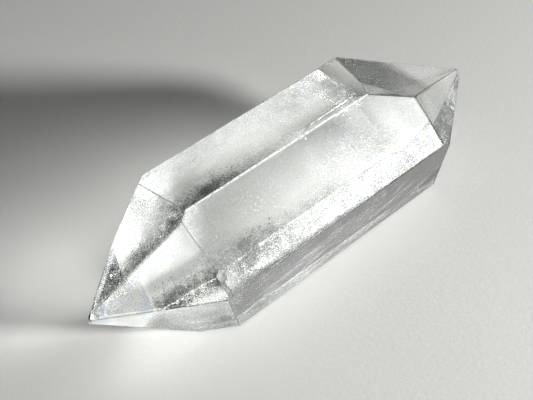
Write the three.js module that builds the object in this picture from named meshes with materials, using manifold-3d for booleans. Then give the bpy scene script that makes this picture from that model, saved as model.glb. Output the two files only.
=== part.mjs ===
// A clear quartz point with a pyramid at each end, ground and polished from one crystal.
// Millimetres, +Z up. +X runs along the crystal from its near point to its far point.
// It lies on one of its six long faces, and the origin is on that surface, under the crystal's middle.

import * as THREE from "three";
import { ConvexGeometry } from "three/addons/geometries/ConvexGeometry.js";
import { mergeVertices } from "three/addons/utils/BufferGeometryUtils.js";
import Module from "manifold-3d";

// Overall sizes: the two sharp points before their damage, and the crystal's axis above the surface
const NEAR_POINT = -38.5;
const FAR_POINT = 38.4;
const AXIS_HEIGHT = 10.1;

// The six long faces. turn is the way a face looks round the crystal's axis: 0 degrees is level,
// towards -Y, and 90 degrees is straight up. reach is its distance from the axis.
const LONG_FACES = [
  { name: "top", turn: 89, reach: 11.0 },
  { name: "front", turn: 33.5, reach: 10.3 },
  { name: "front underside", turn: -23, reach: 10.9 },
  { name: "resting face", turn: -90, reach: AXIS_HEIGHT },
  { name: "back underside", turn: -147.5, reach: 10.4 },
  { name: "back", turn: 149.5, reach: 10.1 },
];

// The faces of the two pyramids. lean is the angle between the axis and the way a face looks, so a
// larger lean is a longer, sharper face. cut is how far a face passes inside the sharp point.
const NEAR_FACES = [
  { name: "over the top face", turn: 88, lean: 54.5, cut: 0.2 },
  { name: "over the front face", turn: 28.5, lean: 56.5, cut: -0.1 },
  { name: "over the front underside", turn: -37, lean: 58.5, cut: 0 },
  { name: "over the resting face", turn: -90.5, lean: 57, cut: 0 },
  { name: "over the back underside", turn: -151, lean: 58, cut: -0.1 },
  { name: "over the back face", turn: 150.5, lean: 60.5, cut: -0.1 },
  { name: "ground flat beside the point", turn: 169, lean: 61.5, cut: 1.2 },
];
const FAR_FACES = [
  { name: "over the top face", turn: 80, lean: 66, cut: -0.1 },
  { name: "over the front face", turn: 36.5, lean: 61.5, cut: 0.1 },
  { name: "over the front underside", turn: -19.5, lean: 57, cut: -0.1 },
  { name: "over the resting face", turn: -92.5, lean: 59, cut: 0 },
  { name: "over the back underside", turn: -152.5, lean: 62.5, cut: -0.1 },
  { name: "over the back face", turn: 147, lean: 65, cut: 0 },
  { name: "strip over the top edge", turn: 75.5, lean: 70, cut: -1.9 },
  { name: "blunted point", turn: -61.5, lean: 29, cut: 0.9 },
];

// Shallow round chips knocked out of the near end: the middle of each scoop and its radius
const CHIPS = [
  { name: "beside the point", middle: [-36.6, 0, 11.9], radius: 1.0 },
  { name: "on the face over the front", middle: [-36.9, -1.7, 10.9], radius: 0.75 },
  { name: "on the lower edge of that face", middle: [-31.6, -6.3, 9.8], radius: 0.95 },
  { name: "on the edge of the front face", middle: [-22.7, -11.3, 13.5], radius: 1.3 },
];
const CHIP_DETAIL = 2;

const CRYSTAL_COLOUR = 0xe9ecea;
const CRYSTAL_ROUGHNESS = 0.04;
const SAME_POINT = 1e-4; // corners closer than this are one corner
const INSIDE = 1e-6; // slack when a corner is tested against the faces

const radians = THREE.MathUtils.degToRad;

/** The plane of a long face: outward normal and distance along it from the origin. */
function longFacePlane({ turn, reach }) {
  const angle = radians(turn);
  const normal = new THREE.Vector3(0, -Math.cos(angle), Math.sin(angle));
  return { normal, distance: reach + normal.z * AXIS_HEIGHT };
}

/** The plane of a pyramid face, which leans in to the point at pointX. */
function endFacePlane({ turn, lean, cut }, pointX) {
  const round = radians(turn);
  const away = radians(lean);
  const normal = new THREE.Vector3(
    Math.sign(pointX) * Math.cos(away),
    -Math.sin(away) * Math.cos(round),
    Math.sin(away) * Math.sin(round),
  );
  const point = new THREE.Vector3(pointX, 0, AXIS_HEIGHT);
  return { normal, distance: normal.dot(point) - cut };
}

/** The point where three planes meet, or null where they have no single point. */
function meetingPoint(a, b, c) {
  const matrix = new THREE.Matrix3();
  matrix.set(...a.normal, ...b.normal, ...c.normal);
  if (Math.abs(matrix.determinant()) < INSIDE) return null;
  return new THREE.Vector3(a.distance, b.distance, c.distance).applyMatrix3(matrix.invert());
}

/** Every corner of the solid that lies behind all the planes. */
function cornersOf(planes) {
  const corners = [];
  planes.forEach((a, i) => {
    planes.slice(i + 1).forEach((b, j) => {
      planes.slice(i + j + 2).forEach((c) => {
        const point = meetingPoint(a, b, c);
        if (!point) return;
        if (planes.some((plane) => plane.normal.dot(point) > plane.distance + INSIDE)) return;
        if (corners.some((corner) => corner.distanceTo(point) < SAME_POINT)) return;
        corners.push(point);
      });
    });
  });
  return corners;
}

const wasm = await Module();
wasm.setup();

/** A closed geometry as a solid that can be joined and cut. */
function solidOf(geometry) {
  const bare = geometry.clone();
  bare.deleteAttribute("normal");
  bare.deleteAttribute("uv");
  const merged = mergeVertices(bare, SAME_POINT);
  return new wasm.Manifold(
    new wasm.Mesh({
      numProp: 3,
      vertProperties: merged.attributes.position.array,
      triVerts: new Uint32Array(merged.index.array),
    }),
  );
}

/** A solid as a three.js geometry with flat faces. */
function geometryOf(solid) {
  const mesh = solid.getMesh();
  const geometry = new THREE.BufferGeometry();
  geometry.setAttribute("position", new THREE.BufferAttribute(mesh.vertProperties, mesh.numProp));
  geometry.setIndex(new THREE.BufferAttribute(mesh.triVerts, 1));
  const flat = geometry.toNonIndexed();
  flat.computeVertexNormals();
  return flat;
}

/** The whole crystal with all its faces, before it was chipped. */
function polishedCrystal() {
  const planes = [
    ...LONG_FACES.map(longFacePlane),
    ...NEAR_FACES.map((face) => endFacePlane(face, NEAR_POINT)),
    ...FAR_FACES.map((face) => endFacePlane(face, FAR_POINT)),
  ];
  return new ConvexGeometry(cornersOf(planes));
}

/** The round scoop that a chip left. */
function chipScoop({ middle, radius }) {
  return new THREE.IcosahedronGeometry(radius, CHIP_DETAIL).translate(...middle);
}

/** The crystal with its chips, standing with its origin under its middle. */
function quartzPoint() {
  let solid = solidOf(polishedCrystal());
  for (const chip of CHIPS) solid = solid.subtract(solidOf(chipScoop(chip)));
  const geometry = geometryOf(solid);
  geometry.computeBoundingBox();
  const middle = geometry.boundingBox.getCenter(new THREE.Vector3());
  geometry.translate(-middle.x, -middle.y, -geometry.boundingBox.min.z);
  const material = new THREE.MeshStandardMaterial({
    color: CRYSTAL_COLOUR,
    roughness: CRYSTAL_ROUGHNESS,
    metalness: 0,
  });
  const mesh = new THREE.Mesh(geometry, material);
  mesh.name = "quartz_point";
  return mesh;
}

const group = new THREE.Group();
group.add(quartzPoint());

export default group;
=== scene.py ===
"""A clear quartz point, polished to a pyramid at each end, lying on one of its long faces.

Every length is in metres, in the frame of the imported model: +X along the crystal, +Z up.
"""

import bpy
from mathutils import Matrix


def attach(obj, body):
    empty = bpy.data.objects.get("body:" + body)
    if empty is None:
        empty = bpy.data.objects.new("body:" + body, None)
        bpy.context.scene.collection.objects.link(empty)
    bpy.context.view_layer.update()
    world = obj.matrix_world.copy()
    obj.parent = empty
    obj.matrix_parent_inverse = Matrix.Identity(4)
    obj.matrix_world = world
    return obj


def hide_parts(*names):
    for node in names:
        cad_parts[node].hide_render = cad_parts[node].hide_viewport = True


bl_info = {
    "name": "Double terminated quartz point",
    "version": (1, 0, 0),
    "blender": (4, 5, 0),
    "location": "3D View > Sidebar > Quartz",
    "description": "Makes a polished quartz point with its veils, cracks and chips, and a stage",
    "category": "Object",
}

import math

import bmesh
import bpy
import numpy as np
from mathutils import Matrix, Vector, noise

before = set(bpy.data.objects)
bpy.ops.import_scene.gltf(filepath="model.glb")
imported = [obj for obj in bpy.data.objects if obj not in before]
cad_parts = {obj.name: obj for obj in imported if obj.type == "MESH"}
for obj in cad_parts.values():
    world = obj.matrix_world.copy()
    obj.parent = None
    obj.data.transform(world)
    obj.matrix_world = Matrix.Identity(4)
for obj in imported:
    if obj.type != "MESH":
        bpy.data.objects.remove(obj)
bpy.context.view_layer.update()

MM = 0.001
NODE = "quartz_point"
BODY = "root"
QUARTZ_IOR = 1.544

AXIS_HEIGHT = 10.1  # mm above the resting face
LEAST_FACE = 0.3 * MM * MM  # smaller flat areas are facets of the chips
SAME_PLANE = 0.02 * MM  # how far off a plane a corner may lie and still be on it
SAME_FACE = 0.9995  # the least dot product of two normals that belong to one flat face
SAME_WAY = 0.9999  # the same for a sheet and the face that it lies under
FLAT_FACE = 0.99999  # the same for a polished face, which isn't one of the edges' narrow strips
SKIN_WAY = 0.998  # the same for the faces with a ground skin
NO_POINT = 1e-7  # three planes with a smaller determinant than this meet in no single point

# The thin sheets that hold the haze and the painted shade: half their size before they are cut,
# and their thickness
SHEET_HALF_LENGTH = 42 * MM
SHEET_HALF_WIDTH = 15 * MM
SHEET_CELL = 0.4 * MM
SHEET_THICKNESS = 0.01 * MM
SHEET_MARGIN = 0.2 * MM  # how far inside the other faces a sheet ends
# The first value is how much painted shade a sheet carries, the second how much milk
SHEET_VALUES = ("painted_shade_share", "haze_milk", "haze_speckle")
LEAST_HAZE = 0.01  # where there is less, the sheet has a hole

# The stage: half the floor's side, its gap below the crystal, and the camera, fitted to the photo
FLOOR_HALF_SIDE = 1.5
FLOOR_GAP = 0.06 * MM
LAMP_AIM = 10 * MM  # height of the point that the key lamp faces
FRAME_WIDTH = 533  # px
FOCAL_LENGTH = 1196.5  # px
SENSOR_WIDTH = 36
CAMERA_PLACE = (-92.0711, -104.0779, 110.5193)  # mm
CAMERA_RIGHT = (0.71367487, -0.69335649, -0.09962409)
CAMERA_UP = (0.47479082, 0.37425135, 0.79656111)

# Where chips were knocked out of the near end: middle of each scoop and its radius, in mm, and
# whether it broke white. They lie beside the point, on the face over the front, on that face's
# lower edge and on the edge of the front face.
CHIPS = [
    {"middle": (-36.67, 0.01, 11.9), "radius": 1.0, "crushed": True},
    {"middle": (-36.97, -1.69, 10.9), "radius": 0.75, "crushed": True},
    {"middle": (-31.67, -6.29, 9.8), "radius": 0.95, "crushed": False},
    {"middle": (-22.77, -11.29, 13.5), "radius": 1.3, "crushed": False},
]
CHIP_GROWTH = 1.02  # makes up for the flat facets of a scoop


# Mesh helpers


def new_object(name, mesh):
    """An object in the scene that holds this mesh."""
    piece = bpy.data.objects.new(name, mesh)
    bpy.context.scene.collection.objects.link(piece)
    return piece


def mesh_from_bmesh(name, bm):
    """A mesh made of this bmesh, which is freed."""
    mesh = bpy.data.meshes.new(name)
    bm.to_mesh(mesh)
    bm.free()
    return mesh


def polished_planes(node, least_area):
    """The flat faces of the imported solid, each with its normal, its distance and its area.
    The small facets of the chips are left out."""
    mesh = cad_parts[node].data
    mesh.calc_loop_triangles()
    found = []
    for triangle in sorted(mesh.loop_triangles, key=lambda t: -t.area):
        corner = mesh.vertices[triangle.vertices[0]].co
        for plane in found:
            near = abs(plane["normal"].dot(corner) - plane["distance"]) < SAME_PLANE
            if near and plane["normal"].dot(triangle.normal) > SAME_FACE:
                plane["area"] += triangle.area
                break
        else:
            normal = triangle.normal.copy()
            found.append({"normal": normal, "distance": normal.dot(corner), "area": triangle.area})
    kept = [plane for plane in found if plane["area"] > least_area]
    if len(kept) < 4:
        raise RuntimeError(f"{node} has only {len(kept)} flat faces, too few to close a solid")
    return kept


def corners_of(normals, reach, inside):
    """Every corner of the solid behind all the planes, with the three planes that meet there.
    Planes about the point inside turn into points, and the hull of those has one face a corner."""
    bm = bmesh.new()
    for index, (normal, distance) in enumerate(zip(normals, reach)):
        vert = bm.verts.new(normal / (distance - normal @ inside))
        vert.index = index
    bmesh.ops.convex_hull(bm, input=bm.verts)
    corners = []
    for face in bm.faces:
        three = [vert.index for vert in face.verts][:3]
        if abs(np.linalg.det(normals[three])) > NO_POINT:
            corners.append((np.linalg.solve(normals[three], reach[three]), three))
    bm.free()
    return corners


def is_top_edge(normal):
    """True for what faces up along the top face's two long edges, which took the most wear."""
    return abs(normal[0]) < 0.02 and normal[2] > 0.5


def rounded_planes(normals, reach, inside, width, top_width):
    """The planes, with two more along every edge that isn't tiny, to round it over this width."""
    met = {}
    for corner, three in corners_of(normals, reach, inside):
        for one, other in ((0, 1), (0, 2), (1, 2)):
            met.setdefault(tuple(sorted((three[one], three[other]))), []).append(corner)
    extra = []
    for (a, b), corners in met.items():
        longest = max(np.linalg.norm(p - q) for p in corners for q in corners)
        both = normals[a] @ normals[b]
        along_top = is_top_edge(normals[a]) and is_top_edge(normals[b])
        along_bottom = normals[a][2] < -0.99 or normals[b][2] < -0.99
        reach_in = top_width if along_top or along_bottom else width
        if longest < 2 * reach_in or both > SAME_FACE:
            continue
        turn = math.acos(both)
        radius = reach_in / math.tan(turn / 2)
        centre = corners[0] - radius * (normals[a] + normals[b]) / (1 + both)
        for share in (0.25, 0.75):
            from_a, from_b = math.sin((1 - share) * turn), math.sin(share * turn)
            normal = (normals[a] * from_a + normals[b] * from_b) / math.sin(turn)
            extra.append((normal, normal @ centre + radius))
    return (
        np.concatenate([normals, [normal for normal, distance in extra]]),
        np.concatenate([reach, [distance for normal, distance in extra]]),
    )


def scoop(bm, middle, radius, seed, detail=4):
    """Adds the uneven round scoop that a chip left, with faint ripples from where it broke."""
    made = bmesh.ops.create_icosphere(bm, subdivisions=detail, radius=1.0)
    shift = Vector((seed * 7.31, seed * 3.17, seed * 5.71))
    struck = Vector((math.sin(seed * 2.4), math.cos(seed * 2.4), 0.35)).normalized()
    for vert in made["verts"]:
        way = vert.co.copy()
        lumps = noise.noise(way * 1.7 + shift) * 0.16 + noise.noise(way * 4.3 + shift) * 0.05
        ripples = 0.018 * math.sin(16 * math.acos(max(-1, min(1, way.dot(struck)))))
        vert.co = (Vector(middle) + way * radius * (1 + lumps + ripples)) * MM


def way_of(turn, lean=90, end=1):
    """The way a face looks: a long face by its turn, a pyramid face also by its lean and end."""
    round_axis = math.radians(turn)
    away = math.radians(lean)
    return Vector((
        end * math.cos(away),
        -math.sin(away) * math.cos(round_axis),
        math.sin(away) * math.sin(round_axis),
    ))


TOP = way_of(89)
FRONT = way_of(33.5)
FRONT_UNDERSIDE = way_of(-23)
RESTING = way_of(-90)
BACK_UNDERSIDE = way_of(-147.5)
NEAR_TOP = way_of(88, 54.5, -1)
NEAR_FRONT = way_of(28.5, 56.5, -1)
NEAR_UNDERSIDE = way_of(-37, 58.5, -1)
NEAR_FLAT = way_of(169, 61.5, -1)
FAR_TOP = way_of(80, 66)
FAR_FRONT = way_of(36.5, 61.5)
FAR_STRIP = way_of(75.5, 70)
UPRIGHT = way_of(0)


class Body:
    """The polished crystal as half-spaces, to place what lies inside it."""

    def __init__(self):
        planes = polished_planes(NODE, LEAST_FACE)
        self.normals = np.array([plane["normal"] for plane in planes], float)
        self.reach = np.array([plane["distance"] for plane in planes], float)

    def holds(self, points, margin):
        """Which points lie at least this far inside every face."""
        return (points @ self.normals.T <= self.reach - margin).all(axis=1)

    def under_face(self, rng, way, count, shallow, deep):
        """Points spread evenly under the face that looks most this way, between two depths.
        It draws until there are enough, and gives up when the face has no room."""
        k = int(np.argmax(self.normals @ np.array(way)))
        normal = self.normals[k]
        across = np.cross(normal, [0.0, 0.0, 1.0] if abs(normal[2]) < 0.9 else [0.0, 1.0, 0.0])
        across /= np.linalg.norm(across)
        along = np.cross(normal, across)
        found = np.empty((0, 3))
        for attempt in range(200):
            spread = rng.uniform(-40 * MM, 40 * MM, (count * 4, 2))
            depth = rng.uniform(shallow, deep, count * 4)
            points = (
                normal * (self.reach[k] - depth)[:, None]
                + across * spread[:, :1]
                + along * spread[:, 1:]
            )
            found = np.concatenate([found, points[self.holds(points, shallow * 0.9)]])
            if len(found) >= count:
                return found[:count]
        raise RuntimeError("No room under the face that looks this way: " + str(tuple(way)))


def patchy(points, scale, seed, keep_low, keep_high, stretch=(1, 1, 1)):
    """Which points to keep so that they gather in patches: noise from keep_low to keep_high."""
    shift = Vector((seed * 13.1, seed * 7.7, seed * 3.3))
    grown = points * np.array(stretch) * scale
    level = np.array([noise.fractal(Vector(p) + shift, 0.7, 2.1, 3) for p in grown])
    chance = np.clip((level - keep_low) / (keep_high - keep_low), 0, 1)
    return np.random.default_rng(seed).random(len(points)) < chance


def grains(name, rng, points, smallest, largest, flat=0.35):
    """One mesh of small closed flakes at these points, each turned its own way."""
    corners = np.array([(1, 1, 1), (1, -1, -1), (-1, 1, -1), (-1, -1, 1)], float) / math.sqrt(3)
    count = len(points)
    size = smallest * (largest / smallest) ** (rng.random(count) ** 2)
    turns = rng.normal(size=(count, 4))
    turns /= np.linalg.norm(turns, axis=1)[:, None]
    w, x, y, z = turns.T
    rows = (
        (1 - 2 * (y * y + z * z), 2 * (x * y - w * z), 2 * (x * z + w * y)),
        (2 * (x * y + w * z), 1 - 2 * (x * x + z * z), 2 * (y * z - w * x)),
        (2 * (x * z - w * y), 2 * (y * z + w * x), 1 - 2 * (x * x + y * y)),
    )
    rotation = np.stack([np.stack(row, 1) for row in rows], 1)
    stretch = rng.uniform(0.6, 1.4, (count, 1, 3)) * np.array([1, 1, flat])
    local = corners[None] * stretch * (size / 2)[:, None, None]
    placed = np.einsum("nij,nkj->nki", rotation, local) + points[:, None]
    faces = np.array([(0, 1, 2), (0, 3, 1), (0, 2, 3), (1, 3, 2)])
    index = (faces[None] + 4 * np.arange(count)[:, None, None]).reshape(-1, 3)
    mesh = bpy.data.meshes.new(name)
    mesh.from_pydata(placed.reshape(-1, 3).tolist(), [], index.tolist())
    mesh.update()
    return mesh


def rise(value, low, high):
    """0 at low, 1 at high, smooth between them and level beyond; low may be the larger."""
    t = min(1.0, max(0.0, (value - low) / (high - low)))
    return t * t * (3 - 2 * t)


def hump(value, middle, width):
    """1 at the middle, falling off smoothly over this width."""
    return math.exp(-(((value - middle) / width) ** 2))


def add_sheet(bm, body, sheet):
    """Adds a thin closed sheet that lies under one face and is cut to the crystal.
    Its points keep how much painted shade and milk is there, and how speckled that is."""
    if "reach" in sheet:
        normal, reach = sheet["way"], sheet["reach"] * MM
    else:
        k = int(np.argmax(body.normals @ np.array(sheet["way"])))
        normal, reach = Vector(body.normals[k]), body.reach[k] - sheet["depth"] * MM
    along = (Vector((1, 0, 0)) - normal * normal.x).normalized()
    across = normal.cross(along)
    middle = normal * reach
    part = bmesh.new()
    bmesh.ops.create_grid(
        part,
        x_segments=int(SHEET_HALF_LENGTH * 2 / SHEET_CELL),
        y_segments=int(SHEET_HALF_WIDTH * 2 / SHEET_CELL),
        size=1.0,
    )
    axis_point = Vector((0, 0, AXIS_HEIGHT * MM))
    centre = axis_point + normal * (middle.dot(normal) - axis_point.dot(normal))
    centre -= along * centre.dot(along)
    long_way, short_way = along * SHEET_HALF_LENGTH, across * SHEET_HALF_WIDTH
    for vert in part.verts:
        vert.co = centre + long_way * vert.co.x + short_way * vert.co.y
    for side, limit in zip(map(Vector, body.normals), body.reach):
        if side.dot(normal) > SAME_WAY:
            continue
        bmesh.ops.bisect_plane(
            part,
            geom=part.verts[:] + part.edges[:] + part.faces[:],
            plane_co=side * (limit - SHEET_MARGIN),
            plane_no=side,
            clear_outer=True,
        )
    empty = [
        face
        for face in part.faces
        if max(sum(sheet["haze"](*(vert.co / MM))) for vert in face.verts) < LEAST_HAZE
    ]
    bmesh.ops.delete(part, geom=empty, context="FACES")
    for vert in part.verts:
        level = noise.noise(vert.co * 260) + 0.5 * noise.noise(vert.co * 700)
        vert.co -= normal * sheet["wave"] * MM * (0.5 + 0.5 * level)
    bmesh.ops.solidify(part, geom=part.faces[:], thickness=SHEET_THICKNESS)
    bmesh.ops.recalc_face_normals(part, faces=part.faces)
    layers = [part.verts.layers.float.new(name) for name in SHEET_VALUES]
    for vert in part.verts:
        for layer, value in zip(layers, (*sheet["haze"](*(vert.co / MM)), sheet["speckle"])):
            vert[layer] = value
    mesh = mesh_from_bmesh("sheet", part)
    bm.from_mesh(mesh)
    bpy.data.meshes.remove(mesh)


# Material helpers


class Maker:
    """Adds nodes to a material's or a group's tree, left to right."""

    def __init__(self, tree):
        self.tree = tree
        self.column = 0

    def node(self, kind, **values):
        """A new node of this kind, set to these values."""
        made = self.tree.nodes.new(kind)
        self.column += 1
        made.location = (180 * self.column - 1600, -60 * (self.column % 5))
        for name, value in values.items():
            setattr(made, name, value)
        return made

    def link(self, source, target):
        self.tree.links.new(source, target)

    def math(self, operation, a, b=None, c=None, clamp=False):
        """The result of this operation on numbers or sockets."""
        made = self.node("ShaderNodeMath", operation=operation, use_clamp=clamp)
        for socket, value in zip(made.inputs, (a, b, c)):
            if value is None:
                continue
            if isinstance(value, (int, float)):
                socket.default_value = value
            else:
                self.link(value, socket)
        return made.outputs[0]

    def noise(self, vector, scale, detail=2.0, rough=0.5):
        """Cloudy noise between 0 and 1."""
        made = self.node("ShaderNodeTexNoise")
        self.link(vector, made.inputs["Vector"])
        made.inputs["Scale"].default_value = scale
        made.inputs["Detail"].default_value = detail
        made.inputs["Roughness"].default_value = rough
        return made.outputs["Fac"]

    def specks(self, place, scale, coarseness, low, high):
        """The shared specks with this material's own values."""
        made = self.node("ShaderNodeGroup", node_tree=specks_group())
        self.link(place, made.inputs["Place"])
        values = {"Scale": scale, "Coarseness": coarseness, "Low": low, "High": high}
        for socket, value in values.items():
            made.inputs[socket].default_value = value
        return made.outputs["Specks"]

    def step(self, value, low, high):
        """0 below low, 1 above high, smooth between them."""
        made = self.node("ShaderNodeMapRange", interpolation_type="SMOOTHSTEP")
        self.link(value, made.inputs["Value"])
        made.inputs["From Min"].default_value = low
        made.inputs["From Max"].default_value = high
        return made.outputs["Result"]

    def mix(self, factor, a, b):
        """A colour between these two, each a tuple or a socket."""
        made = self.node("ShaderNodeMix", data_type="RGBA")
        self.link(factor, made.inputs[0])
        for socket, value in ((made.inputs[6], a), (made.inputs[7], b)):
            if isinstance(value, tuple):
                socket.default_value = (*value, 1)
            else:
                self.link(value, socket)
        return made.outputs[2]


def specks_group():
    """The shader group of fine specks that quartz, haze, wear and grains share."""
    name = "fine specks"
    if name in bpy.data.node_groups:
        return bpy.data.node_groups[name]
    group = bpy.data.node_groups.new(name, "ShaderNodeTree")
    group.interface.new_socket("Place", in_out="INPUT", socket_type="NodeSocketVector")
    for socket, default in (("Scale", 3000.0), ("Coarseness", 0.6), ("Low", 0.35), ("High", 0.65)):
        added = group.interface.new_socket(socket, in_out="INPUT", socket_type="NodeSocketFloat")
        added.default_value = default
    group.interface.new_socket("Specks", in_out="OUTPUT", socket_type="NodeSocketFloat")
    make = Maker(group)
    given = make.node("NodeGroupInput")
    texture = make.node("ShaderNodeTexNoise")
    texture.inputs["Detail"].default_value = 2.5
    ramp = make.node("ShaderNodeMapRange", interpolation_type="SMOOTHSTEP")
    result = make.node("NodeGroupOutput")
    make.link(given.outputs["Place"], texture.inputs["Vector"])
    make.link(given.outputs["Scale"], texture.inputs["Scale"])
    make.link(given.outputs["Coarseness"], texture.inputs["Roughness"])
    make.link(texture.outputs["Fac"], ramp.inputs["Value"])
    make.link(given.outputs["Low"], ramp.inputs["From Min"])
    make.link(given.outputs["High"], ramp.inputs["From Max"])
    make.link(ramp.outputs["Result"], result.inputs["Specks"])
    return group


def empty_material(name):
    """A material with its output and Principled shader, and a Maker for the rest."""
    material = bpy.data.materials.new(name)
    material.use_nodes = True
    tree = material.node_tree
    return material, Maker(tree), tree.nodes["Principled BSDF"], tree.nodes["Material Output"]


def lamps_pass(make, shader, out, dark):
    """Lets lamps reach what lies inside: their rays leave the crystal freely, and are dimmed to
    dark where they enter it, so that it still throws a shadow."""
    path = make.node("ShaderNodeLightPath")
    geometry = make.node("ShaderNodeNewGeometry")
    tint = make.mix(geometry.outputs["Backfacing"], (dark, dark, dark), (1.0, 1.0, 1.0))
    clear = make.node("ShaderNodeBsdfTransparent")
    make.link(tint, clear.inputs[0])
    both = make.node("ShaderNodeMixShader")
    make.link(path.outputs["Is Shadow Ray"], both.inputs[0])
    make.link(shader.outputs[0], both.inputs[1])
    make.link(clear.outputs[0], both.inputs[2])
    make.link(both.outputs[0], out.inputs["Surface"])


def quartz_material():
    """Clear polished quartz. The two long faces underneath keep a fine uneven ground skin."""
    material, make, shader, out = empty_material("clear quartz")
    place = make.node("ShaderNodeTexCoord").outputs["Object"]
    skin = make.node("ShaderNodeAttribute", attribute_name="ground_skin").outputs["Fac"]
    grain = make.noise(place, 3600, detail=3.0, rough=0.6)
    patches = make.specks(place, 160, 0.5, 0.3, 0.62)
    height = make.math("MULTIPLY", make.math("MULTIPLY", grain, patches), skin)
    bump = make.node("ShaderNodeBump")
    bump.inputs["Strength"].default_value = 1.0
    bump.inputs["Distance"].default_value = 0.006 * MM
    make.link(height, bump.inputs["Height"])
    make.link(bump.outputs[0], shader.inputs["Normal"])
    polish = make.math("MULTIPLY_ADD", make.math("MULTIPLY", skin, patches), 0.1, 0.01)
    make.link(polish, shader.inputs["Roughness"])
    shader.inputs["Base Color"].default_value = (0.95, 0.951, 0.944, 1)
    shader.inputs["IOR"].default_value = QUARTZ_IOR
    shader.inputs["Transmission Weight"].default_value = 1.0
    lamps_pass(make, shader, out, dark=0.0)
    absorb(make, out)
    return material


def absorb(make, out):
    """The faint loss of light inside the crystal."""
    inside = make.node("ShaderNodeVolumeAbsorption")
    inside.inputs["Color"].default_value = (0.95, 0.955, 0.949, 1)
    inside.inputs["Density"].default_value = 75
    make.link(inside.outputs[0], out.inputs["Volume"])


def break_material(name, crushed):
    """Quartz where it broke: uneven glass, or white and crushed."""
    material, make, shader, out = empty_material(name)
    place = make.node("ShaderNodeTexCoord").outputs["Object"]
    grain = make.specks(place, 1500, 0.65, 0.3, 0.7)
    bump = make.node("ShaderNodeBump")
    bump.inputs["Distance"].default_value = (0.05 if crushed else 0.01) * MM
    make.link(grain, bump.inputs["Height"])
    make.link(bump.outputs[0], shader.inputs["Normal"])
    polish = make.math("MULTIPLY_ADD", grain, 0.3, 0.1 if crushed else 0.03)
    make.link(polish, shader.inputs["Roughness"])
    shader.inputs["Base Color"].default_value = (1, 1, 1, 1)
    shader.inputs["IOR"].default_value = QUARTZ_IOR
    shader.inputs["Transmission Weight"].default_value = 0.5 if crushed else 0.85
    lamps_pass(make, shader, out, dark=0.0)
    absorb(make, out)
    return material


def grain_material(name, tints, rough=0.5):
    """Pale mineral grains: each takes a tint between these from where it lies."""
    material, make, shader, out = empty_material(name)
    place = make.node("ShaderNodeTexCoord").outputs["Object"]
    cloud = make.noise(place, 2200, detail=1.0)
    blend = make.step(cloud, 0.35, 0.65)
    make.link(make.mix(blend, tints[0], tints[1]), shader.inputs["Base Color"])
    make.link(make.math("MULTIPLY_ADD", cloud, 0.3, rough - 0.15), shader.inputs["Roughness"])
    return material


def sheet_material(painted_shade, milk):
    """Haze inside the crystal: a dark part that is painted shade and a milky part, each broken up
    into fine specks.
    """
    material, make, shader, out = empty_material("milky haze and painted shade")
    place = make.node("ShaderNodeTexCoord").outputs["Object"]
    shares = [
        make.node("ShaderNodeAttribute", attribute_name=name).outputs["Fac"]
        for name in SHEET_VALUES
    ]
    parts = []
    for share, shift in zip(shares[:2], (0.0, 0.37)):
        moved = make.node("ShaderNodeVectorMath", operation="ADD")
        make.link(place, moved.inputs[0])
        moved.inputs[1].default_value = (shift, shift, shift)
        speck = make.specks(moved.outputs[0], 4600, 0.75, 0.36, 0.68)
        cloud = make.specks(moved.outputs[0], 480, 0.65, 0.28, 0.72)
        even = make.math("SUBTRACT", 1.0, shares[2])
        level = make.math("MULTIPLY_ADD", make.math("MULTIPLY", speck, shares[2]), 2.0, even)
        patch = make.math("MULTIPLY_ADD", make.math("SUBTRACT", cloud, 0.5), shares[2], 1.0)
        level = make.math("MULTIPLY", level, patch)
        parts.append(make.math("MULTIPLY", share, level, clamp=True))
    total = make.math("ADD", parts[0], parts[1], clamp=True)
    left = make.math("SUBTRACT", 1.0, make.math("MULTIPLY", total, 0.98))
    alpha = make.math("SUBTRACT", 1.0, make.math("SQRT", left))
    make.link(alpha, shader.inputs["Alpha"])
    both = make.math("MAXIMUM", make.math("ADD", parts[0], parts[1]), 0.001)
    share = make.math("DIVIDE", parts[1], both)
    tint = make.step(make.noise(place, 900, detail=2.0), 0.35, 0.65)
    white = make.mix(tint, tuple(milk[0]), tuple(milk[1]))
    # The dark part takes the painted shade colour, the milky part the haze's own tint
    make.link(make.mix(share, tuple(painted_shade), white), shader.inputs["Base Color"])
    make.link(make.math("MULTIPLY_ADD", tint, 0.2, 0.5), shader.inputs["Roughness"])
    return material


def edge_material(name, worn):
    """A ground edge: clear and a little frosted, or so worn that part of it is white."""
    material, make, shader, out = empty_material(name)
    place = make.node("ShaderNodeTexCoord").outputs["Object"]
    wear = make.specks(place, 1400, 0.7, 0.3, 0.6)
    bump = make.node("ShaderNodeBump")
    bump.inputs["Distance"].default_value = 0.01 * MM
    make.link(wear, bump.inputs["Height"])
    make.link(bump.outputs[0], shader.inputs["Normal"])
    make.link(make.math("MULTIPLY_ADD", wear, 0.2, 0.05 + 0.3 * worn), shader.inputs["Roughness"])
    make.link(make.mix(wear, (0.8, 0.81, 0.8), (0.92, 0.92, 0.91)), shader.inputs["Base Color"])
    shader.inputs["IOR"].default_value = QUARTZ_IOR
    shader.inputs["Transmission Weight"].default_value = 1.0 - worn
    lamps_pass(make, shader, out, dark=0.0)
    absorb(make, out)
    return material


def floor_material(darker, paler):
    """Pale paper with a fine tooth."""
    material, make, shader, out = empty_material("pale floor")
    place = make.node("ShaderNodeTexCoord").outputs["Object"]
    fine = make.noise(place, 1500, detail=4.0, rough=0.65)
    broad = make.noise(place, 12, detail=2.0)
    shade = make.mix(broad, tuple(darker), tuple(paler))
    make.link(shade, shader.inputs["Base Color"])
    bump = make.node("ShaderNodeBump")
    bump.inputs["Strength"].default_value = 0.2
    bump.inputs["Distance"].default_value = 0.1 * MM
    make.link(fine, bump.inputs["Height"])
    make.link(bump.outputs[0], shader.inputs["Normal"])
    shader.inputs["Roughness"].default_value = 0.7
    return material


# Settings


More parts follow.
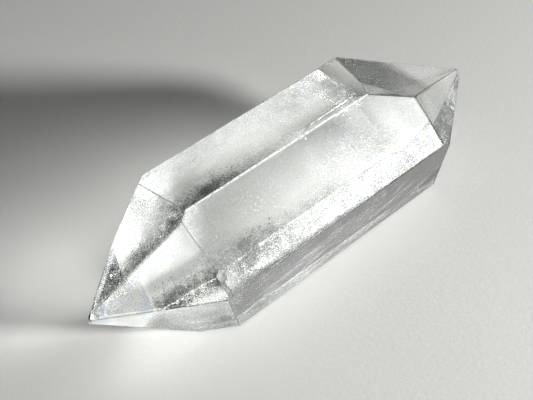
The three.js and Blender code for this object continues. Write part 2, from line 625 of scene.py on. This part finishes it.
class QuartzSizes(bpy.types.PropertyGroup):
    edge_round: bpy.props.FloatProperty(
        name="Edge rounding",
        description="How far the ground edges reach into each face",
        default=0.1 * MM,
        unit="LENGTH",
    )
    worn_edge_round: bpy.props.FloatProperty(
        name="Worn edge rounding",
        description="The same for the edges round the resting face and along the top face",
        default=0.2 * MM,
        unit="LENGTH",
    )


class QuartzColours(bpy.types.PropertyGroup):
    milk_cool: bpy.props.FloatVectorProperty(
        name="Cool milk",
        description="Bluish tint of the milky haze and painted shade",
        default=(0.79, 0.84, 0.93),
        subtype="COLOR",
    )
    milk_warm: bpy.props.FloatVectorProperty(
        name="Warm milk",
        description="Creamy tint of the milky haze and painted shade",
        default=(0.96, 0.95, 0.87),
        subtype="COLOR",
    )
    # Painted shade: the dark tint of the sheets that darken faces where the shadowed floor is seen
    # through the crystal
    painted_shade: bpy.props.FloatVectorProperty(
        name="Painted shade",
        description="Tint of the dark haze",
        default=(0.07, 0.075, 0.07),
        subtype="COLOR",
    )
    floor_dark: bpy.props.FloatVectorProperty(
        name="Floor, darker",
        description="Darker tint of the paper that the crystal lies on",
        default=(0.70, 0.70, 0.675),
        subtype="COLOR",
    )
    floor_pale: bpy.props.FloatVectorProperty(
        name="Floor, paler",
        description="Paler tint of the paper that the crystal lies on",
        default=(0.76, 0.757, 0.73),
        subtype="COLOR",
    )


class QuartzLight(bpy.types.PropertyGroup):
    key_turn: bpy.props.FloatProperty(
        name="Key turn",
        description="Which way the key light stands, from +X towards +Y",
        default=math.radians(-66),
        subtype="ANGLE",
    )
    key_height: bpy.props.FloatProperty(
        name="Key height",
        description="How far the key light stands above the horizon",
        default=math.radians(11.5),
        subtype="ANGLE",
    )
    key_distance: bpy.props.FloatProperty(
        name="Key distance",
        description="From the crystal's middle to the key light",
        default=0.45,
        unit="LENGTH",
    )
    key_width: bpy.props.FloatProperty(
        name="Key width", description="Level side of the key light", default=0.09, unit="LENGTH"
    )
    key_depth: bpy.props.FloatProperty(
        name="Key depth", description="Upright side of the key light", default=0.03, unit="LENGTH"
    )
    key_power: bpy.props.FloatProperty(
        name="Key power", description="Light of the key lamp in watts", default=6.0
    )
    fill: bpy.props.FloatProperty(
        name="Fill", description="Brightness of the soft light from all round", default=0.1
    )


# Pieces


class OBJECT_OT_quartz_body(bpy.types.Operator):
    """Make the polished crystal with its rounded edges and its chips"""

    bl_idname = "object.quartz_body"
    bl_label = "Polished crystal"

    def execute(self, context):
        sizes = context.scene.quartz_sizes
        planes = polished_planes(NODE, LEAST_FACE)
        normals = np.array([plane["normal"] for plane in planes], float)
        reach = np.array([plane["distance"] for plane in planes], float) / MM
        inside = np.array([0, 0, AXIS_HEIGHT])
        bm = bmesh.new()
        widths = (sizes.edge_round / MM, sizes.worn_edge_round / MM)
        rounded = rounded_planes(normals, reach, inside, *widths)
        for corner, three in corners_of(*rounded, inside):
            bm.verts.new(corner)
        bmesh.ops.remove_doubles(bm, verts=bm.verts, dist=0.01)
        hull = bmesh.ops.convex_hull(bm, input=bm.verts)
        loose = [v for v in hull["geom_interior"] if isinstance(v, bmesh.types.BMVert)]
        bmesh.ops.delete(bm, geom=loose, context="VERTS")
        bmesh.ops.dissolve_limit(
            bm, angle_limit=math.radians(0.3), verts=bm.verts, edges=bm.edges
        )
        bmesh.ops.scale(bm, vec=(MM, MM, MM), verts=bm.verts)
        bmesh.ops.recalc_face_normals(bm, faces=bm.faces)
        piece = new_object("polished_crystal", mesh_from_bmesh("polished_crystal", bm))
        clear, fresh, ground, crushed, worn = range(5)  # the places of these materials
        materials = (
            quartz_material(),
            break_material("fresh break", False),
            edge_material("ground edge", 0.0),
            break_material("crushed break", True),
            edge_material("worn edge", 0.5),
        )
        cutter_bm = bmesh.new()
        for seed, chip in enumerate(CHIPS):
            scoop(cutter_bm, chip["middle"], chip["radius"] * CHIP_GROWTH, seed + 1)
        cutter = new_object("chip_scoops", mesh_from_bmesh("chip_scoops", cutter_bm))
        for material in materials:
            piece.data.materials.append(material)
            cutter.data.materials.append(material)
        for polygon in piece.data.polygons:
            flat = any(polygon.normal.dot(plane["normal"]) > FLAT_FACE for plane in planes)
            edge = worn if is_top_edge(polygon.normal) else ground
            polygon.material_index = clear if flat else edge
        scoop_faces = len(cutter.data.polygons) // len(CHIPS)
        for polygon in cutter.data.polygons:
            chip = CHIPS[polygon.index // scoop_faces]
            polygon.material_index = crushed if chip["crushed"] else fresh
        cut = piece.modifiers.new("chips", "BOOLEAN")
        cut.operation = "DIFFERENCE"
        cut.solver = "EXACT"
        cut.use_self = True
        cut.object = cutter
        shaped = bpy.data.meshes.new_from_object(
            piece.evaluated_get(context.evaluated_depsgraph_get())
        )
        if len(shaped.polygons) <= len(piece.data.polygons):
            raise RuntimeError("The chips didn't cut into the polished crystal")
        piece.modifiers.clear()
        piece.data = shaped
        bpy.data.objects.remove(cutter)
        skin = shaped.attributes.new("ground_skin", "FLOAT", "FACE")
        values = [
            float(any(polygon.normal.dot(way) > SKIN_WAY for way in (RESTING, BACK_UNDERSIDE)))
            for polygon in shaped.polygons
        ]
        skin.data.foreach_set("value", values)
        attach(piece, BODY)
        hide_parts(NODE)
        return {"FINISHED"}


def add_grains(name, rng, points, size, tints):
    """One piece of grains, from the smallest to the largest size in mm."""
    mesh = grains(name, rng, points, size[0] * MM, size[1] * MM)
    mesh.materials.append(grain_material(name.replace("_", " "), tints))
    piece = new_object(name, mesh)
    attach(piece, BODY)


# Sugar-like clusters: the middle and spread in mm and the number of grains
SUGAR = [
    ((8.6, -3.4, 20.3), (1.6, 0.9, 0.5), 700),
    ((-2.5, -3.6, 20.3), (1.6, 0.7, 0.5), 350),
    ((-32.0, -1.0, 14.0), (1.5, 0.9, 1.0), 350),
]


class OBJECT_OT_quartz_dust(bpy.types.Operator):
    """Make the fine grains inside: pale dust, mist, sugar-like clusters and dark grains of painted
    contact shadow
    """

    bl_idname = "object.quartz_dust"
    bl_label = "Grains inside"

    def execute(self, context):
        body = Body()
        rng = np.random.default_rng(11)
        back = body.under_face(rng, BACK_UNDERSIDE, 30000, 0.14 * MM, 0.55 * MM)
        rest = body.under_face(rng, RESTING, 27000, 0.14 * MM, 0.5 * MM)
        rest = rest[rest[:, 1] > 1.5 * MM]
        points = np.concatenate([back, rest])
        points = points[(points[:, 0] > -19 * MM) & (points[:, 0] < 16 * MM)]
        # Leave the pale dust out where the dark grains of painted contact shadow go
        near_painted_shadow = (points[:, 0] < -5 * MM) & (points[:, 1] > 4.8 * MM) & (points[:, 2] < 2.6 * MM)
        points = points[~near_painted_shadow]
        points = points[patchy(points, 320, 5, -0.5, 0.6, stretch=(0.5, 1, 1))]
        tints = ((0.42, 0.46, 0.5), (0.6, 0.58, 0.52))
        add_grains("pale_dust", rng, points, (0.05, 0.17), tints)

        top = body.under_face(rng, TOP, 60000, 0.13 * MM, 0.5 * MM) / MM
        share = [
            0.75 * rise(y, -3, 1.5) * (0.35 + 0.65 * hump(x, 5, 7)) * rise(x, 12.5, 10)
            for x, y, z in top
        ]
        top = top[rng.random(len(top)) < share] * MM
        near = body.under_face(rng, NEAR_TOP, 36000, 0.13 * MM, 0.6 * MM) / MM
        share = [
            0.75 * rise(x, -28, -25) * rise(y, -4, 0) + 0.2
            for x, y, z in near
        ]
        near = near[rng.random(len(near)) < share] * MM
        flat = body.under_face(rng, NEAR_FLAT, 3000, 0.13 * MM, 0.6 * MM)
        points = np.concatenate([top, near, flat])
        points = points[patchy(points, 500, 8, -0.6, 0.3)]
        tints = ((0.85, 0.9, 0.97), (0.97, 0.96, 0.9))
        add_grains("white_mist", rng, points, (0.07, 0.16), tints)

        spots = []
        for middle, spread, count in SUGAR:
            spots.append(rng.normal(middle, spread, (count, 3)) * MM)
        points = np.concatenate(spots)
        points = points[body.holds(points, 0.25 * MM)]
        tints = ((0.9, 0.93, 0.97), (0.98, 0.97, 0.92))
        add_grains("sugar_grains", rng, points, (0.08, 0.28), tints)

        # Dark grains along the edge between the resting face and the back underside: painted
        # contact shadow, where the shaded floor under that edge is seen through the crystal
        along = rng.uniform(-23, -5, 34000)
        across = rng.normal(6.0, 0.6, len(along))
        points = np.stack([along, across, np.abs(rng.normal(0, 1.1, len(along))) + 0.24], 1)
        thick = [max(hump(x, -10.8, 2.2), 0.75 * hump(x, -18.8, 2.6), 0.25) for x in along]
        points = points[rng.random(len(points)) < thick] * MM
        points = points[patchy(points, 900, 3, -0.5, 0.15)]
        points = points[body.holds(points, 0.23 * MM)]
        tints = ((0.02, 0.03, 0.025), (0.12, 0.14, 0.12))
        add_grains("painted_contact_shadow", rng, points, (0.1, 0.32), tints)
        return {"FINISHED"}


def top_haze_and_shade(x, y, z):
    """Painted shade along the front edge at the near end, milky along the back edge and the far
    half.
    """
    painted_shade = 0.6 * rise(y, 0.8, -4.6) * rise(x, 3, -20)
    painted_shade += 0.35 * hump(x, 10.5, 2) * rise(y, 0, -3)
    milk = 0.25 * rise(x, -8, 2) * rise(x, 11, 8) * rise(y, -4, 0)
    milk += 0.3 * rise(y, 0, 2.5) * rise(x, 12, 8)
    return painted_shade, milk


def front_haze_and_shade(x, y, z):
    """Milky in a broad band that widens towards the far end, with a faint painted shade near the
    near end.
    """
    milk = 0.02 + 0.14 * rise(x, -18, 8) * rise(z, 23, 15.5)
    milk += 0.16 * rise(x, 0, 8) * rise(z, 15, 12.5)
    return 0.13 * hump(x, -21, 4), milk


def front_low_painted_shade(x, y, z):
    """An even painted shade along the lower edge of the near half."""
    return 0.72 * rise(z, 15.6, 13.2) * rise(x, 4, -4), 0.0


# Wisps under the front underside: x and z of the middle, half length and half width in mm, how
# far each rises along x, and its milk
WISPS = [
    (-15.5, 3.4, 3.2, 0.35, 0.10, 0.16),
    (-12.0, 5.2, 4.5, 0.50, 0.04, 0.13),
    (-9.0, 3.0, 3.0, 0.40, 0.12, 0.12),
    (-7.5, 6.6, 3.6, 0.45, -0.03, 0.12),
    (-5.0, 4.4, 2.6, 0.30, 0.15, 0.14),
    (-2.5, 7.6, 2.2, 0.35, 0.05, 0.10),
    (1.0, 2.0, 4.0, 0.30, 0.08, 0.09),
    (9.5, 4.8, 2.8, 0.40, 0.20, 0.12),
    (11.5, 7.2, 0.9, 0.16, 0.80, 0.30),
    (14.0, 5.6, 0.7, 0.18, 0.60, 0.25),
    (17.5, 3.5, 2.4, 0.35, 0.20, 0.09),
]


def underside_haze(x, y, z):
    """Thin wisps along the crystal, most of them in the near half."""
    milk = 0.02 + 0.035 * hump(x, -9, 8) * hump(z, 4.5, 3.2) + 0.03 * rise(z, 3, 1)
    for middle_x, middle_z, half_length, half_width, slope, strength in WISPS:
        off = z - middle_z - slope * (x - middle_x)
        milk += strength * hump(x, middle_x, half_length) * hump(off, 0, half_width)
    return 0.0, milk


def near_top_painted_shade(x, y, z):
    """A trace of painted shade towards the point."""
    return 0.05 * rise(x, -24, -27) * rise(y, 2, -1), 0.0


def curtain_haze(x, y, z):
    """A milky curtain that stands inside the near end and lights it up from behind."""
    return 0.0, 0.32 * rise(x, -15, -19) * rise(z, 5, 8.5) * rise(x, -27, -24)


def tip_curtain_haze(x, y, z):
    """A thin curtain close under the near point's top face, clear of the face beside it."""
    return 0.0, 0.16 * rise(z - 1.37 * (x + 31.8), 7.6, 8.8) * rise(x, -27.5, -29.5)


def near_front_haze(x, y, z):
    """Pale over the point, very white beside the front face, clear between."""
    inner = rise(x, -30.4, -30.0)
    across = y + 0.518 * x  # level along the lines that run the crystal's way as they are seen
    bands = 0.25 * rise(across, -20.2, -19.5) + 0.13 * hump(across, -20.8, 0.25) + 0.03
    return 0.0, 0.27 * (1 - inner) + bands * inner


def near_under_haze(x, y, z):
    """Thin, and white at the point."""
    return 0.0, 0.1 + 0.55 * rise(x, -29, -31) + 0.12 * hump(x, -25, 2)


def far_top_haze_and_shade(x, y, z):
    """Painted shade beside the prism, pale towards the far point."""
    return 0.75 * rise(x, 26.5, 22.5) * (0.45 + 0.55 * rise(y, -6, -2)), 0.09 * rise(x, 24, 27)


def far_front_haze_and_shade(x, y, z):
    """Painted shade, clearing towards the far point."""
    return 0.4 * rise(x, 33, 27), 0.03 * rise(x, 24, 32)


def far_strip_painted_shade(x, y, z):
    """An even painted shade."""
    return 0.3, 0.0


# Each sheet: the face it lies under and how deep, or the way it faces and its distance from the
# origin along that way. Then how far it waves, in mm, how speckled it is, its haze and painted
# shade.
SHEETS = [
    {"way": TOP, "depth": 0.15, "wave": 0.2, "speckle": 0.55, "haze": top_haze_and_shade},
    {"way": FRONT, "depth": 0.15, "wave": 0.2, "speckle": 0.5, "haze": front_haze_and_shade},
    {"way": FRONT, "depth": 0.5, "wave": 0.2, "speckle": 0.35, "haze": front_low_painted_shade},
    {"way": FRONT_UNDERSIDE, "depth": 0.2, "wave": 0.3, "speckle": 0.4, "haze": underside_haze},
    {"way": NEAR_TOP, "depth": 0.3, "wave": 0.2, "speckle": 0.6, "haze": near_top_painted_shade},
    {"way": NEAR_FRONT, "depth": 0.3, "wave": 0.2, "speckle": 0.1, "haze": near_front_haze},
    {"way": UPRIGHT, "reach": -2.2, "wave": 0.4, "speckle": 0.3, "haze": tip_curtain_haze},
    {"way": UPRIGHT, "reach": -5.0, "wave": 0.8, "speckle": 0.3, "haze": curtain_haze},
    {"way": NEAR_UNDERSIDE, "depth": 0.3, "wave": 0.2, "speckle": 0.15, "haze": near_under_haze},
    {"way": FAR_TOP, "depth": 0.3, "wave": 0.3, "speckle": 0.1, "haze": far_top_haze_and_shade},
    {"way": FAR_FRONT, "depth": 0.3, "wave": 0.3, "speckle": 0.1, "haze": far_front_haze_and_shade},
    {"way": FAR_STRIP, "depth": 0.2, "wave": 0.1, "speckle": 0.1, "haze": far_strip_painted_shade},
]


class OBJECT_OT_quartz_haze(bpy.types.Operator):
    """Make the milky sheets and the dark sheets of painted shade that lie under the polished faces
    """

    bl_idname = "object.quartz_haze"
    bl_label = "Milky haze and painted shade"

    def execute(self, context):
        body = Body()
        bm = bmesh.new()
        for name in SHEET_VALUES:
            bm.verts.layers.float.new(name)
        for sheet in SHEETS:
            add_sheet(bm, body, sheet)
        mesh = mesh_from_bmesh("milky_haze_and_painted_shade", bm)
        colours = context.scene.quartz_colours
        milk = (colours.milk_cool, colours.milk_warm)
        mesh.materials.append(sheet_material(colours.painted_shade, milk))
        piece = new_object("milky_haze_and_painted_shade", mesh)
        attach(piece, BODY)
        return {"FINISHED"}


# Thin old scratches on the near end, in mm: their two ends and their half width
SCRATCHES = [
    ((-34.89, -1.69, 12.32), (-34.04, -1.97, 12.99), 0.06),
    ((-34.62, -1.95, 12.22), (-34.25, -2.05, 12.52), 0.035),
    ((-36.05, -1.75, 10.95), (-35.60, -1.95, 11.20), 0.04),
]


def add_sliver(bm, start, end, half_width):
    """Adds a closed sliver, widest in its middle, between two points."""
    start, end = Vector(start) * MM, Vector(end) * MM
    way = (end - start).normalized()
    side = way.orthogonal().normalized()
    rings = []
    for share in (0.15, 0.4, 0.65, 0.9):
        centre = start.lerp(end, share) + side * 0.03 * MM * math.sin(9 * share)
        width = half_width * MM * math.sin(math.pi * share) ** 0.5
        spokes = [Matrix.Rotation(2 * math.pi * i / 6, 3, way) @ side for i in range(6)]
        rings.append([bm.verts.new(centre + spoke * width) for spoke in spokes])
    for first, second in zip(rings, rings[1:]):
        for i in range(6):
            bm.faces.new((first[i], first[i - 5], second[i - 5], second[i]))
    for ring, tip in ((rings[0][::-1], start), (rings[-1], end)):
        point = bm.verts.new(tip)
        for i in range(6):
            bm.faces.new((ring[i], ring[i - 5], point))


def film_material():
    """Thin cracks that flash pink, gold and blue."""
    material, make, shader, out = empty_material("rainbow cracks")
    place = make.node("ShaderNodeTexCoord").outputs["Object"]
    ramp = make.node("ShaderNodeValToRGB")
    make.link(make.noise(place, 900, detail=1.0), ramp.inputs["Fac"])
    tints = (
        (0.36, (0.95, 0.62, 0.62)),
        (0.44, (0.98, 0.9, 0.66)),
        (0.5, (0.97, 0.97, 0.95)),
        (0.56, (0.6, 0.78, 0.97)),
        (0.64, (0.82, 0.86, 0.98)),
    )
    stops = ramp.color_ramp.elements
    while len(stops) < len(tints):
        stops.new(0.5)
    for stop, (place_along, tint) in zip(stops, tints):
        stop.position = place_along
        stop.color = (*tint, 1)
    make.link(ramp.outputs["Color"], shader.inputs["Base Color"])
    polish = make.math("MULTIPLY_ADD", make.specks(place, 2000, 0.6, 0.3, 0.7), 0.2, 0.12)
    make.link(polish, shader.inputs["Roughness"])
    return material


class OBJECT_OT_quartz_cracks(bpy.types.Operator):
    """Make the rainbow cracks inside the near point and the scratches on it"""

    bl_idname = "object.quartz_cracks"
    bl_label = "Cracks and scratches"

    def execute(self, context):
        body = Body()
        rng = np.random.default_rng(29)
        points = rng.normal((-32.4, -0.7, 13.6), (0.95, 0.8, 0.75), (70, 3)) * MM
        points = points[body.holds(points, 0.45 * MM)]
        mesh = grains("rainbow_cracks", rng, points, 0.18 * MM, 0.62 * MM, flat=0.05)
        mesh.materials.append(film_material())
        cracks = new_object("rainbow_cracks", mesh)
        bm = bmesh.new()
        for start, end, half_width in SCRATCHES:
            add_sliver(bm, start, end, half_width)
        bmesh.ops.recalc_face_normals(bm, faces=bm.faces)
        mesh = mesh_from_bmesh("near_scratches", bm)
        tints = ((0.05, 0.05, 0.045), (0.2, 0.2, 0.19))
        mesh.materials.append(grain_material("dark scratch", tints))
        scratches = new_object("near_scratches", mesh)
        for piece in (cracks, scratches):
            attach(piece, BODY)
        return {"FINISHED"}


class OBJECT_OT_quartz_stage(bpy.types.Operator):
    """Make the floor, the lights and the camera"""

    bl_idname = "object.quartz_stage"
    bl_label = "Stage"

    def execute(self, context):
        scene = context.scene
        bm = bmesh.new()
        bmesh.ops.create_grid(bm, x_segments=1, y_segments=1, size=FLOOR_HALF_SIDE)
        floor = new_object("floor", mesh_from_bmesh("floor", bm))
        floor.location.z = -FLOOR_GAP
        colours = scene.quartz_colours
        floor.data.materials.append(floor_material(colours.floor_dark, colours.floor_pale))

        light = scene.quartz_light
        key_data = bpy.data.lights.new("key", "AREA")
        key_data.shape = "ELLIPSE"
        key_data.size = light.key_width
        key_data.size_y = light.key_depth
        key_data.energy = light.key_power
        key = bpy.data.objects.new("key", key_data)
        scene.collection.objects.link(key)
        level = math.cos(light.key_height)
        way = Vector((
            math.cos(light.key_turn) * level,
            math.sin(light.key_turn) * level,
            math.sin(light.key_height),
        ))
        key.location = way * light.key_distance + Vector((0, 0, LAMP_AIM))
        key.rotation_euler = (-way).to_track_quat("-Z", "Y").to_euler()

        world = bpy.data.worlds.new("soft")
        world.use_nodes = True
        sky = world.node_tree.nodes["Background"]
        sky.inputs["Color"].default_value = (1, 1, 1, 1)
        sky.inputs["Strength"].default_value = light.fill
        scene.world = world

        camera_data = bpy.data.cameras.new("camera")
        camera_data.sensor_width = SENSOR_WIDTH
        camera_data.lens = FOCAL_LENGTH / FRAME_WIDTH * SENSOR_WIDTH
        camera_data.clip_start = 0.005
        camera = bpy.data.objects.new("camera", camera_data)
        right, up = Vector(CAMERA_RIGHT), Vector(CAMERA_UP)
        rotation = Matrix((right, up, right.cross(up))).transposed().to_4x4()
        camera.matrix_world = Matrix.Translation(Vector(CAMERA_PLACE) * MM) @ rotation
        scene.collection.objects.link(camera)
        scene.camera = camera
        scene.view_settings.view_transform = "Standard"
        scene.cycles.max_bounces = 24
        scene.cycles.transmission_bounces = 20
        scene.cycles.transparent_max_bounces = 32
        scene.cycles.use_denoising = True
        scene.cycles.denoising_prefilter = "NONE"
        scene.cycles.use_adaptive_sampling = False
        return {"FINISHED"}


# The add-on


class VIEW3D_PT_quartz(bpy.types.Panel):
    """The settings of the quartz point and a button for each step"""

    bl_idname = "VIEW3D_PT_quartz"
    bl_label = "Quartz point"
    bl_space_type = "VIEW_3D"
    bl_region_type = "UI"
    bl_category = "Quartz"

    def draw(self, context):
        for title, group in (
            ("Sizes", context.scene.quartz_sizes),
            ("Colours", context.scene.quartz_colours),
            ("Light", context.scene.quartz_light),
        ):
            box = self.layout.box()
            box.label(text=title)
            for name in group.__annotations__:
                box.prop(group, name)
        for step in STEPS:
            self.layout.operator("object." + step)


STEPS = ("quartz_body", "quartz_dust", "quartz_haze", "quartz_cracks", "quartz_stage")

CLASSES = (
    QuartzSizes,
    QuartzColours,
    QuartzLight,
    OBJECT_OT_quartz_body,
    OBJECT_OT_quartz_dust,
    OBJECT_OT_quartz_haze,
    OBJECT_OT_quartz_cracks,
    OBJECT_OT_quartz_stage,
    VIEW3D_PT_quartz,
)


def register():
    for kind in CLASSES:
        bpy.utils.register_class(kind)
    bpy.types.Scene.quartz_sizes = bpy.props.PointerProperty(type=QuartzSizes)
    bpy.types.Scene.quartz_colours = bpy.props.PointerProperty(type=QuartzColours)
    bpy.types.Scene.quartz_light = bpy.props.PointerProperty(type=QuartzLight)


def unregister():
    del bpy.types.Scene.quartz_light
    del bpy.types.Scene.quartz_colours
    del bpy.types.Scene.quartz_sizes
    for kind in reversed(CLASSES):
        bpy.utils.unregister_class(kind)


def main():
    """Makes every piece and the stage."""
    register()
    for step in STEPS:
        getattr(bpy.ops.object, step)()


if __name__ == "__main__":
    main()
